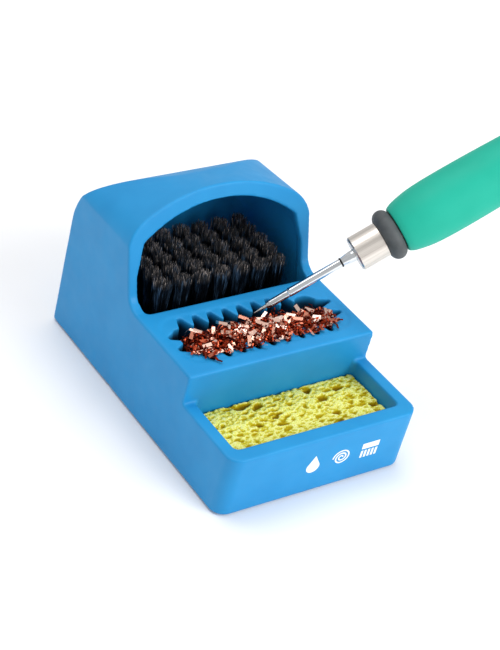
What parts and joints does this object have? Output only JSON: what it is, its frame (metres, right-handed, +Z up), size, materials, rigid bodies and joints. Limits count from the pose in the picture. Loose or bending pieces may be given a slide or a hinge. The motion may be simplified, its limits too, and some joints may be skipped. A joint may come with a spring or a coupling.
{
  "type": "soldering iron cleaning station",
  "caption": "Bench stand for a soldering iron: sponge well in front, toothed slot of copper wool on the deck, hooded brush behind, and a pencil iron laid tip-down in the wool.",
  "frame": {"origin": "on the bench, under the middle of the stand's base, at the anti-slip pad's face", "axes": "+Z up, +Y from the sponge well towards the hood, +X to the right seen from the front"},
  "size_m": [0.1544, 0.1073, 0.1109],
  "materials": {
    "housing_blue": "satin matte",
    "liner_navy": "matte",
    "brush_block": "matte",
    "bristle_nylon": "matte",
    "ballast_steel": "plain",
    "plate_dark": "matte",
    "screw_steel": "satin",
    "pad_rubber": "matte",
    "sponge_yellow": "open cell",
    "wool_copper": "bright turnings",
    "tip_plate": "plated",
    "sleeve_steel": "polished",
    "tube_chrome": "bright",
    "ring_black": "matte",
    "collar_satin": "satin",
    "ring_rubber": "matte",
    "grip_green": "satin matte",
    "handle_dark": "matte",
    "socket_white": "matte",
    "pin_brass": "plain",
    "cap_dark": "satin",
    "inlet_rubber": "matte"
  },
  "bodies": {
    "stand": {"shell": "housing_blue", "wool_tray": "liner_navy", "brush_base": "brush_block", "bristles": "bristle_nylon", "ballast_plate": "ballast_steel", "base_plate": "plate_dark", "base_screws": "screw_steel", "base_pad": "pad_rubber"},
    "sponge": {"sponge": "sponge_yellow"},
    "wool": {"copper_wool": "wool_copper"},
    "iron": {"tip": "tip_plate", "tip_sleeve": "sleeve_steel", "crimp_pin": "tube_chrome", "heater_tube": "tube_chrome", "insulating_ring": "ring_black", "cartridge_neck": "tube_chrome", "collar": "collar_satin", "rubber_ring": "ring_rubber", "grip": "grip_green", "handle_tube": "handle_dark", "contact_socket": "socket_white", "contact_pins": "pin_brass", "rear_cap": "cap_dark", "cord_inlet": "inlet_rubber"}
  },
  "joints": [
    {"name": "sponge_lift", "type": "slide", "parent": "stand", "child": "sponge", "axis": [0, -0.1416, 0.9899], "range_m": [0, 0.03]},
    {"name": "wool_lift", "type": "slide", "parent": "stand", "child": "wool", "axis": [0, 0, 1], "range_m": [0, 0.04]},
    {"name": "iron_draw", "type": "slide", "parent": "wool", "child": "iron", "axis": [0.8319, -0.1738, 0.527], "range_m": [0, 0.06]}
  ]
}
